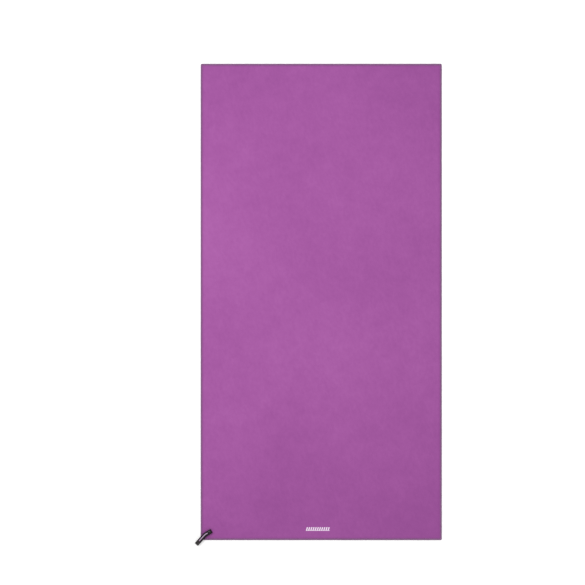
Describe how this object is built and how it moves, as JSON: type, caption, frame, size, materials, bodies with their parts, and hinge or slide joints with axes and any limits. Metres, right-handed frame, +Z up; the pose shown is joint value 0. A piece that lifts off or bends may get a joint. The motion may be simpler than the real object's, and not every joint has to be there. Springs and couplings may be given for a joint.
{
  "type": "quick dry towel",
  "caption": "Large flat microfibre quick dry travel towel with an overlocked edge, a small printed mark and a webbing hanging loop that snaps shut at one corner.",
  "frame": {"origin": "the middle of the cloth's underside, on the surface that the towel lies on", "axes": "+Z up out of the printed side; +Y along the length, from the foot end with the loop and the mark to the head end; +X across the width, the loop being on the -X, -Y corner"},
  "size_m": [0.8294, 1.618, 0.0135],
  "materials": {
    "microfibre_cloth": "brushed suede-like microfibre, matt with a soft nap",
    "edge_thread": "textured polyester overlock thread, a darker purple",
    "pale_transfer": "thin heat-transfer film, matt",
    "black_webbing": "plain woven nylon webbing with a pale stripe down its middle",
    "black_thread": "bonded sewing thread",
    "black_metal": "black lacquered brass, semi-gloss",
    "bare_metal": "plain plated steel"
  },
  "bodies": {
    "towel_body": {"towel_cloth_body": "microfibre_cloth", "edge_overlock_foot_end": "edge_thread", "edge_overlock_left_body": "edge_thread", "edge_overlock_right_body": "edge_thread", "print_mark": "pale_transfer", "loop_sewn_tab": "black_webbing", "loop_box_stitch": "black_thread"},
    "towel_head": {"towel_cloth_head": "microfibre_cloth", "edge_overlock_head_end": "edge_thread", "edge_overlock_left_head": "edge_thread", "edge_overlock_right_head": "edge_thread"},
    "loop_lower": {"loop_lower_run": "black_webbing", "snap_stud": "bare_metal", "snap_post": "bare_metal"},
    "loop_upper": {"loop_upper_run": "black_webbing", "snap_cap": "black_metal", "snap_socket": "bare_metal", "snap_spring": "bare_metal"}
  },
  "joints": [
    {"name": "towel_fold", "type": "hinge", "parent": "towel_body", "child": "towel_head", "pos_m": [0, 0.267, 0.003], "axis": [1, 0, 0], "range_deg": [0, 179.8]},
    {"name": "loop_swing", "type": "hinge", "parent": "towel_body", "child": "loop_lower", "pos_m": [-0.36953, -0.7689, 0.0035], "axis": [-0.5, 0.866, 0], "range_deg": [0, 90]},
    {"name": "loop_open", "type": "hinge", "parent": "loop_lower", "child": "loop_upper", "pos_m": [-0.41683, -0.81067, 0.00775], "axis": [0.7396, -0.673, 0], "range_deg": [0, 179.8]}
  ]
}
